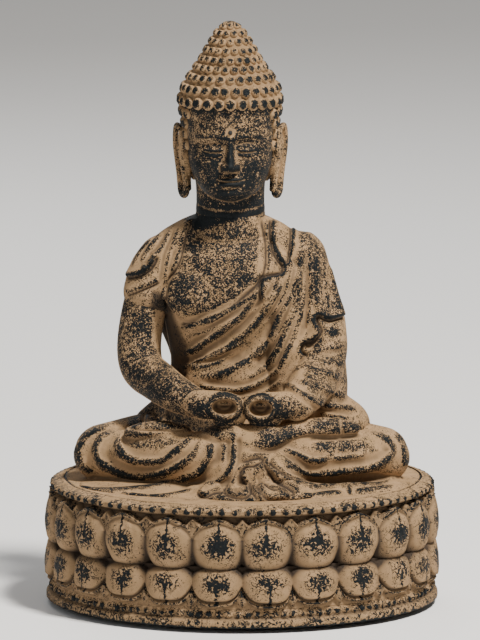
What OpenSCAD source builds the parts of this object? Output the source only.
// Meditating figure on a round double-lotus throne, built up from hollow cast-stone pieces.
// The castings stack on locating lips and dowels. One threaded rod clamps them, from a cup in
// the steel base plate to a nut in the neck socket, which the spigot of the head then covers.
// Millimetres, +Z up, the figure faces -Y. The origin is the middle of the face it stands on.

/* [Throne] */
// Radius over the bulge of the petals
throne_r = 136; // [114:1:165]
// Petals in each of the two rows
petal_count = 24; // [18:2:30]
// How far the petals stand out from the wall behind them
petal_bulge = 14; // [11:1:17]
// Thickness of the ring walls
course_wall = 14; // [11:1:17]
// Height of the plinth
plinth_h = 13; // [12:1:18]
// Height of the course with the hanging petals
lower_h = 26; // [21:1:32]
// Height of the course with the rising petals
upper_h = 35; // [28:1:43]
// Thickness of the seat slab
seat_h = 9; // [8:1:13]
// Radius of the half-round bead borders
bead_r = 3; // [2.4:0.1:3.6]
// Depth of the locating lip under each course
lip_h = 3; // [2:0.5:4]
// Wall of a locating lip
lip_wall = 5; // [4:0.5:7]
// Gap all round a locating lip
lip_gap = 0.4; // [0.2:0.1:0.8]

/* [Base] */
// Thickness of the steel base plate
plate_t = 3; // [2:0.5:4]
// Gap round the base plate in its rebate
plate_gap = 0.5; // [0.3:0.1:1]
// Radius of one rubber pad
pad_r = 12; // [9:1:15]
// Height of one rubber pad
pad_h = 3; // [2:0.5:5]
// Number of rubber pads
pad_count = 4; // [3:1:6]
// Radius of the base screws' shanks
screw_r = 2; // [1.6:0.1:2.4]
// Length of the base screws' shanks
screw_l = 9; // [8:0.5:11]
// Number of base screws
screw_count = 6; // [4:1:8]

/* [Tie rod] */
// Radius of the threaded rod
rod_r = 3; // [2.5:0.5:3.5]
// Radius of the clearance holes for the rod
rod_hole_r = 3.6; // [3.6:0.1:4.5]
// Nut across its flats
nut_af = 10; // [8:0.5:12]
// Nut thickness
nut_h = 5; // [4:0.5:6.5]
// Radius of the washers
washer_r = 8; // [7:0.5:9]
// Thickness of the washers
washer_t = 1.6; // [1:0.1:2]

/* [Figure] */
// Sideways place of the trunk's axis
trunk_x = -8; // [-12:1:0]
// Front to back place of the trunk's axis
trunk_y = 14; // [10:1:20]
// Width over the knees
knee_span = 230; // [200:1:232]
// Radius of a knee
knee_r = 21; // [18:1:25]
// Radius of an ankle
ankle_r = 17; // [14:1:19]
// Height of the face under the trunk, above the seat
lap_h = 30; // [26:1:36]
// Height of the trunk, from the lap to the neck joint
trunk_h = 138; // [115:1:168]
// Width of the waist
waist_w = 84; // [76:1:90]
// Depth of the waist
waist_d = 60; // [52:1:68]
// Width of the chest
chest_w = 92; // [84:1:98]
// Depth of the chest
chest_d = 70; // [62:1:78]
// Width over the shoulders
shoulder_w = 136; // [128:1:164]
// Radius of a shoulder
shoulder_r = 20; // [17:1:22]
// Radius of the bare upper arm
arm_r = 15.5; // [13:0.5:17]
// Radius of a wrist
wrist_r = 10; // [8:0.5:12]
// Height of the face under the hands, above the seat
hand_rest_h = 46; // [44:1:50]
// Sideways place of the middle of the hands
hand_x = 3; // [0:1:6]
// Width over both hands
hand_span = 68; // [60:1:76]
// Wall of the hollow figure castings
figure_wall = 9; // [7:0.5:12]

/* [Head] */
// Height of the head casting, from the neck joint to the crown
head_h = 146; // [122:1:176]
// Radius of the neck
neck_r = 23.5; // [21:0.5:26]
// Radius of the head over the hair
hair_r = 36.5; // [31:0.5:44]
// Height of the widest part of the hair above the neck joint
hair_z = 88; // [80:1:94]
// Length of the ears
ear_h = 50; // [42:1:58]
// Radius of the head's spigot
spigot_r = 16; // [14.5:0.5:17]
// Length of the head's spigot
spigot_l = 20; // [16:0.5:22]
// Gap round the spigot in the neck socket
spigot_gap = 0.25; // [0.15:0.05:0.5]
// Wall of the spigot
spigot_wall = 5; // [4:0.5:6]

/* [Dowels] */
// Radius of the steel dowels
dowel_r = 2.5; // [2:0.5:3]
// Length of the steel dowels
dowel_l = 12; // [10:1:14]
// Gap round a dowel in its hole
dowel_gap = 0.1; // [0.05:0.05:0.3]

/* [Hidden] */

stone = [0.62, 0.50, 0.38];
steel = [0.70, 0.70, 0.72];
rubber = [0.12, 0.12, 0.12];
inlay = [0.13, 0.14, 0.15];

// facets of the round surfaces that stay exact, and of the balls that a hull joins
round_fn = 64;
hull_fn = 28;
// overshoot of a cut past the face that it opens, and end room of a dowel in its hole
past = 1;
end_room = 0.5;

// heights of the courses
plinth_z = pad_h;
lower_z = plinth_z + plinth_h;
upper_z = lower_z + lower_h;
seat_z = upper_z + upper_h;
seat_top = seat_z + seat_h;

// radii of the courses
core_r = throne_r - petal_bulge;
bore_r = core_r - course_wall;
lip_bore_r = bore_r - lip_gap - lip_wall;
plinth_r = throne_r;
ledge_r = bore_r + 13;
plate_r = ledge_r - plate_gap;
course_dowel_r = (core_r + bore_r) / 2;
screw_ring_r = (ledge_r + bore_r) / 2;
pad_ring_r = bore_r - pad_r;

// heights and places in the figure
trunk_z = seat_top + lap_h;
neck_z = trunk_z + trunk_h;
shoulder_z = neck_z - shoulder_r - 4;
shoulder_x = shoulder_w / 2 - shoulder_r;
cuff_z = shoulder_z - shoulder_r - 1;
chest_z = cuff_z;
hands_z = seat_top + hand_rest_h;
// the hands are cut flat a little above their lowest point, so they stand on a face
hand_mid_z = hands_z + wrist_r - 3;
wrist_y = -52;
hand_half = hand_span / 2;
ring_r = 8.3;
ring_wire_r = 3.7;
knee_x = knee_span / 2 - knee_r;
knee_y = -8;
knee_z = seat_top + knee_r - 2;
ankle_x = 12;
ankle_y = -58;
elbow_z = hand_mid_z + 28;
elbow_out = shoulder_w / 2 - 5;
elbow_y = 2;
arm_out = shoulder_w / 2 - 10;
arm_y = trunk_y - 3;
socket_floor = neck_z - spigot_l - end_room;
rod_top = socket_floor + washer_t + nut_h + 1.5;
cup_h = washer_t + nut_h + 3;
cup_r = washer_r + 3;
cup_wall = 2;
cup_ceiling = pad_h + cup_h;
urna_z = neck_z + 0.5 * head_h;

// points along the limbs, seen from the front: right is the figure's own right, at -X
right_elbow = [trunk_x - elbow_out, elbow_y, elbow_z];
left_elbow = [trunk_x + elbow_out, elbow_y, elbow_z];
right_wrist = [hand_x - hand_half, wrist_y, hand_mid_z];
left_wrist = [hand_x + hand_half, wrist_y, hand_mid_z];

// radius of the skull, and of the cone of curls above it, at height z above the neck joint
function skull_r(z) = hair_r * sqrt(max(0, 1 - pow((z - hair_z) / (hair_z - neck_r * 0.9), 2)));
function curls_r(z) = hair_r * pow(max(0, 1 - pow((z - hair_z) / (head_h - hair_z), 1.3)), 0.75);
function head_r(z) = z > hair_z ? curls_r(z) : max(neck_r, skull_r(z));

module ball(place, r) {
    translate(place) sphere(r = r, $fn = hull_fn);
}

// an oval disc about the trunk's axis, for hulls
module oval(w, d, z, t = 1) {
    translate([trunk_x, trunk_y, z]) scale([w / 2, d / 2, 1]) cylinder(r = 1, h = t, $fn = 40);
}

// copies of one thing on a circle about the throne's axis
module around(count, r, first = 0) {
    for (i = [0 : count - 1]) rotate(first + i * 360 / count) translate([r, 0, 0]) children();
}

// dowels, or with a gap their holes, that cross each joint at the height z
module upright_dowels(places, z, gap = 0) {
    room = gap > 0 ? end_room : 0;
    for (p = places)
        translate([p[0], p[1], z - dowel_l / 2 - room])
            cylinder(r = dowel_r + gap, h = dowel_l + 2 * room, $fn = round_fn);
}

// places of the dowels in each joint
function course_places(first) = [for (a = [first, first + 180]) course_dowel_r * [cos(a), sin(a)]];
lap_places = [[trunk_x - 56, trunk_y + 14], [trunk_x + 56, trunk_y + 14]];
trunk_places = [for (s = [-1, 1]) [trunk_x + s * (waist_w / 2 - 5.5), trunk_y]];
hand_places = [for (s = [-1, 1]) [hand_x + s * (hand_half - 18), wrist_y - 4]];

// the gap-grown hole of the rod, through everything from the base to the neck
module rod_hole() {
    translate([trunk_x, trunk_y, 0]) cylinder(r = rod_hole_r, h = neck_z, $fn = round_fn);
}

// ring below a course that drops into the bore of the course under it
module locating_lip() {
    translate([0, 0, -lip_h]) difference() {
        cylinder(r = bore_r - lip_gap, h = lip_h + past, $fn = 128);
        translate([0, 0, -past]) cylinder(r = lip_bore_r, h = lip_h + 3 * past, $fn = 128);
    }
}

// one ring course with a row of bulging petals on its outside and a shelf inside for its lip
module petal_course(h, first) {
    petal_r = throne_r * sin(180 / petal_count) * 1.03;
    difference() {
        union() {
            cylinder(r = core_r, h = h, $fn = 128);
            intersection() {
                around(petal_count, throne_r - petal_r, first)
                    translate([0, 0, h / 2]) sphere(r = petal_r, $fn = round_fn);
                cylinder(r = throne_r + past, h = h, $fn = 128);
            }
        }
        translate([0, 0, -past]) cylinder(r = lip_bore_r, h = h + 2 * past, $fn = 128);
        translate([0, 0, lip_wall]) cylinder(r = bore_r, h = h, $fn = 128);
    }
    locating_lip();
}

// ---------- throne ----------

module foot_pads() {
    color(rubber) around(pad_count, pad_ring_r, 45) cylinder(r = pad_r, h = pad_h, $fn = round_fn);
}

// flat disc, dished upwards where the rod's lower nut sits
module base_plate() {
    color(steel) difference() {
        union() {
            translate([0, 0, pad_h]) cylinder(r = plate_r, h = plate_t, $fn = 128);
            translate([trunk_x, trunk_y, pad_h])
                cylinder(r = cup_r + cup_wall, h = cup_h + cup_wall, $fn = round_fn);
        }
        translate([trunk_x, trunk_y, pad_h - past]) cylinder(r = cup_r, h = cup_h + past, $fn = round_fn);
        rod_hole();
        around(screw_count, screw_ring_r)
            translate([0, 0, pad_h - past]) cylinder(r = screw_r + 0.3, h = plate_t + 2 * past, $fn = round_fn);
    }
}

module base_screws() {
    color(steel) around(screw_count, screw_ring_r) {
        translate([0, 0, pad_h]) cylinder(r = screw_r, h = screw_l, $fn = round_fn);
        translate([0, 0, pad_h - 1.8]) cylinder(r = 2 * screw_r, h = 1.8, $fn = round_fn);
    }
}

module plinth() {
    color(stone) difference() {
        translate([0, 0, plinth_z]) union() {
            rotate_extrude($fn = 128) polygon([
                [bore_r, 0], [plinth_r - 3, 0], [plinth_r, 3], [plinth_r, 6],
                [plinth_r - 4, 8], [plinth_r - 4, plinth_h], [bore_r, plinth_h]
            ]);
            rotate_extrude($fn = 128)
                translate([plinth_r - 4, plinth_h - bead_r - 0.5]) circle(r = bead_r, $fn = round_fn);
        }
        translate([0, 0, plinth_z - past]) cylinder(r = ledge_r, h = plate_t + past, $fn = 128);
        around(screw_count, screw_ring_r)
            translate([0, 0, plinth_z]) cylinder(r = screw_r, h = screw_l + 0.5, $fn = round_fn);
        upright_dowels(course_places(15), lower_z, dowel_gap);
    }
}

module lower_lotus_course() {
    color(stone) difference() {
        translate([0, 0, lower_z]) petal_course(lower_h, 180 / petal_count);
        upright_dowels(course_places(15), lower_z, dowel_gap);
        upright_dowels(course_places(75), upper_z, dowel_gap);
    }
}

module upper_lotus_course() {
    color(stone) difference() {
        translate([0, 0, upper_z]) petal_course(upper_h, 180 / petal_count);
        upright_dowels(course_places(75), upper_z, dowel_gap);
        upright_dowels(course_places(135), seat_z, dowel_gap);
    }
}

module seat_slab() {
    rim_r = throne_r - 5;
    color(stone) difference() {
        union() {
            translate([0, 0, seat_z]) {
                cylinder(r = rim_r, h = seat_h, $fn = 128);
                rotate_extrude($fn = 128)
                    translate([rim_r, seat_h / 2]) circle(r = bead_r, $fn = round_fn);
                locating_lip();
            }
        }
        translate([0, 0, seat_top - 1]) rotate_extrude($fn = 128)
            translate([rim_r - 4, 0]) square([1.4, 1 + past]);
        rod_hole();
        upright_dowels(course_places(135), seat_z, dowel_gap);
        upright_dowels(lap_places, seat_top, dowel_gap);
    }
}

module course_dowels() {
    color(steel) {
        upright_dowels(course_places(15), lower_z);
        upright_dowels(course_places(75), upper_z);
        upright_dowels(course_places(135), seat_z);
    }
}

// ---------- figure ----------

// the outer forms of the lap: pelvis, two folded legs, two feet, and the robe between the shins
module lap_forms() {
    hull() {
        oval(134, 116, seat_top);
        oval(112, 88, trunk_z - 1);
    }
    for (s = [-1, 1]) {
        hull() {
            ball([trunk_x + s * 36, trunk_y + 12, seat_top + 20], 24);
            ball([s * knee_x, knee_y, knee_z], knee_r);
            ball([-s * ankle_x, ankle_y, seat_top + ankle_r + 3], ankle_r);
        }
        hull() {
            ball([s * 40, -34, hands_z - 10], 8);
            ball([s * 72, -18, hands_z - 10], 7);
        }
    }
    hull() {
        translate([hand_x, ankle_y - 6, seat_top]) cylinder(r = 34, h = 6, $fn = 40);
        translate([hand_x, ankle_y + 8, hands_z - 1]) cylinder(r = 24, h = 1, $fn = 40);
    }
    translate([hand_x, ankle_y - 2, seat_top]) cylinder(r = 46, h = 4, $fn = round_fn);
}

module lap() {
    color(stone) difference() {
        lap_forms();
        translate([-throne_r, -throne_r, seat_top - 60]) cube([2 * throne_r, 2 * throne_r, 60]);
        translate([trunk_x, trunk_y, trunk_z]) linear_extrude(60) polygon([
            for (a = [0 : 9 : 351]) [(waist_w / 2 + 3) * cos(a), (waist_d / 2 + 3) * sin(a)]
        ]);
        translate([trunk_x, trunk_y, seat_top - past])
            cylinder(r = 32, h = lap_h - figure_wall + past, $fn = round_fn);
        for (s = [-1, 1]) translate([s * 76, 0, seat_top - past])
            cylinder(r = 13, h = lap_h - figure_wall + past, $fn = round_fn);
        rod_hole();
        upright_dowels(lap_places, seat_top, dowel_gap);
        upright_dowels(trunk_places, trunk_z, dowel_gap);
        upright_dowels(hand_places, hands_z, dowel_gap);
    }
}

module lap_dowels() {
    color(steel) upright_dowels(lap_places, seat_top);
}

// a flat-ended round stub about an arm's axis at the robe's cuff, just above or below the cut
module cuff_disc(r, above) {
    translate([trunk_x - arm_out, arm_y, cuff_z - (above ? 0 : 1)]) cylinder(r = r, h = 1, $fn = 40);
}

// the trunk, the left arm in its sleeve, and the robe's cap over the right shoulder
module trunk_forms() {
    hull() {
        oval(waist_w, waist_d, trunk_z);
        oval(chest_w, chest_d, chest_z - 1);
    }
    hull() {
        oval(chest_w, chest_d, chest_z);
        for (s = [-1, 1]) ball([trunk_x + s * shoulder_x, trunk_y, shoulder_z], shoulder_r);
        oval(2 * neck_r + 10, 2 * neck_r + 6, neck_z - 1);
    }
    hull() {
        ball([trunk_x + shoulder_x, trunk_y, shoulder_z], shoulder_r);
        ball(left_elbow, shoulder_r - 3);
    }
    hull() {
        ball(left_elbow, shoulder_r - 3);
        ball(left_wrist, wrist_r + 2);
    }
    hull() {
        ball([trunk_x - shoulder_x, trunk_y, shoulder_z], shoulder_r);
        cuff_disc(arm_r + 1.5, true);
    }
}

module trunk() {
    color(stone) difference() {
        trunk_forms();
        hull() {
            oval(waist_w - 2 * figure_wall - 6, waist_d - 2 * figure_wall, trunk_z - past);
            oval(chest_w - 2 * figure_wall, chest_d - 2 * figure_wall, chest_z - 1);
            oval(40, 30, socket_floor - 14);
        }
        translate([hand_x, wrist_y - 30, hands_z - 10])
            cube([hand_half, 30 + wrist_r + 4, 2 * wrist_r + 20]);
        translate([trunk_x, trunk_y, socket_floor])
            cylinder(r = spigot_r + spigot_gap, h = spigot_l + 2 * past, $fn = round_fn);
        rod_hole();
        upright_dowels(trunk_places, trunk_z, dowel_gap);
        shoulder_dowel_form(dowel_gap);
        wrist_dowel_forms(dowel_gap);
    }
}

module trunk_dowels() {
    color(steel) upright_dowels(trunk_places, trunk_z);
}

// bare right arm, from the robe's cuff to the wrist, flat where it lies against the trunk
module right_arm() {
    color(stone) difference() {
        union() {
            intersection() {
                hull() {
                    cuff_disc(arm_r, false);
                    ball(right_elbow, arm_r - 1);
                }
                translate([-throne_r, -throne_r, seat_top])
                    cube([throne_r + trunk_x - chest_w / 2 - 0.5, 2 * throne_r, cuff_z - seat_top]);
            }
            hull() {
                ball(right_elbow, arm_r - 1);
                ball(right_wrist, wrist_r);
            }
        }
        translate([hand_x - hand_half, wrist_y - 30, hands_z - 10])
            cube([hand_half, 60, 2 * wrist_r + 20]);
        shoulder_dowel_form(dowel_gap);
        wrist_dowel_forms(dowel_gap);
    }
}

module shoulder_dowel_form(gap = 0) {
    upright_dowels([[trunk_x - arm_out, arm_y]], cuff_z, gap);
}

module shoulder_dowel() {
    color(steel) shoulder_dowel_form();
}

// two hands that meet, each with its thumb and first finger closed in a ring
module hands() {
    color(stone) difference() {
        union() {
            for (s = [-1, 1]) {
                hull() {
                    ball([hand_x + s * hand_half, wrist_y, hand_mid_z], wrist_r);
                    ball([hand_x + s * (hand_half - 16), wrist_y - 6, hand_mid_z], wrist_r);
                }
                translate([hand_x + s * (ring_r + ring_wire_r - 0.4), wrist_y - 12, hand_mid_z])
                    rotate([90, 0, 0]) rotate_extrude($fn = round_fn)
                        translate([ring_r, 0]) circle(r = ring_wire_r, $fn = round_fn);
            }
        }
        for (s = [-1, 1]) translate([hand_x + s * (hand_half + 30), wrist_y, hand_mid_z])
            cube(60, center = true);
        translate([hand_x - 50, wrist_y - 50, hands_z - 20]) cube([100, 100, 20]);
        upright_dowels(hand_places, hands_z, dowel_gap);
        wrist_dowel_forms(dowel_gap);
    }
}

module hand_dowels() {
    color(steel) upright_dowels(hand_places, hands_z);
}

// dowels, or with a gap their holes, that lie along X across both wrists
module wrist_dowel_forms(gap = 0) {
    room = gap > 0 ? end_room : 0;
    for (s = [-1, 1])
        translate([hand_x + s * hand_half - dowel_l / 2 - room, wrist_y, hand_mid_z])
            rotate([0, 90, 0]) cylinder(r = dowel_r + gap, h = dowel_l + 2 * room, $fn = round_fn);
}

module wrist_dowels() {
    color(steel) wrist_dowel_forms();
}

// hollow head turned about the neck's axis, its spigot below and its two long ears
module head() {
    inner_r = spigot_r - spigot_wall;
    roof_z = head_h - 26;
    color(stone) difference() {
        translate([trunk_x, trunk_y, neck_z]) {
            rotate_extrude($fn = 128) polygon(concat(
                [[inner_r, -spigot_l], [spigot_r, -spigot_l], [spigot_r, 0]],
                [for (i = [0 : 24]) [head_r(i * head_h / 24), i * head_h / 24]],
                [[0, roof_z + 4]],
                [for (i = [16 : -1 : 0]) [max(inner_r, head_r(i * roof_z / 16) - figure_wall), i * roof_z / 16]]
            ));
            for (s = [-1, 1]) hull() {
                translate([s * (hair_r - 2), 4, 24 + ear_h - 9]) ear_disc(9);
                translate([s * (hair_r - 4), 0, 24 + 5]) ear_disc(5);
            }
        }
        urna_form(0.1);
    }
}

module ear_disc(r) {
    rotate([0, 90, 0]) cylinder(r = r, h = 6, center = true, $fn = hull_fn);
}

// shank of the forehead bead, or with a gap its hole
module urna_form(gap = 0) {
    front_y = trunk_y - head_r(urna_z - neck_z);
    translate([trunk_x, front_y - 1, urna_z])
        rotate([-90, 0, 0]) cylinder(r = 1.5 + gap, h = 5 + gap, $fn = round_fn);
}

module urna_bead() {
    front_y = trunk_y - head_r(urna_z - neck_z);
    color(inlay) {
        urna_form();
        translate([trunk_x, front_y - 1, urna_z]) sphere(r = 1.5, $fn = round_fn);
    }
}

// ---------- tie rod ----------

module tie_rod() {
    rod_foot = cup_ceiling - washer_t - nut_h - 1.5;
    color(steel) translate([trunk_x, trunk_y, rod_foot])
        cylinder(r = rod_r, h = rod_top - rod_foot, $fn = round_fn);
}

// something with the rod's bore through it, at the height z
module on_rod(z, h) {
    translate([trunk_x, trunk_y, z]) difference() {
        children();
        translate([0, 0, -past]) cylinder(r = rod_r + 0.05, h = h + 2 * past, $fn = round_fn);
    }
}

module tie_nuts() {
    color(steel) for (z = [cup_ceiling - washer_t - nut_h, socket_floor + washer_t])
        on_rod(z, nut_h) cylinder(r = nut_af / 2 / cos(30), h = nut_h, $fn = 6);
}

module tie_washers() {
    color(steel) for (z = [cup_ceiling - washer_t, socket_floor])
        on_rod(z, washer_t) cylinder(r = washer_r, h = washer_t, $fn = round_fn);
}

foot_pads();
base_plate();
base_screws();
plinth();
lower_lotus_course();
upper_lotus_course();
seat_slab();
course_dowels();
lap();
lap_dowels();
trunk();
trunk_dowels();
right_arm();
shoulder_dowel();
hands();
hand_dowels();
wrist_dowels();
head();
urna_bead();
tie_rod();
tie_nuts();
tie_washers();
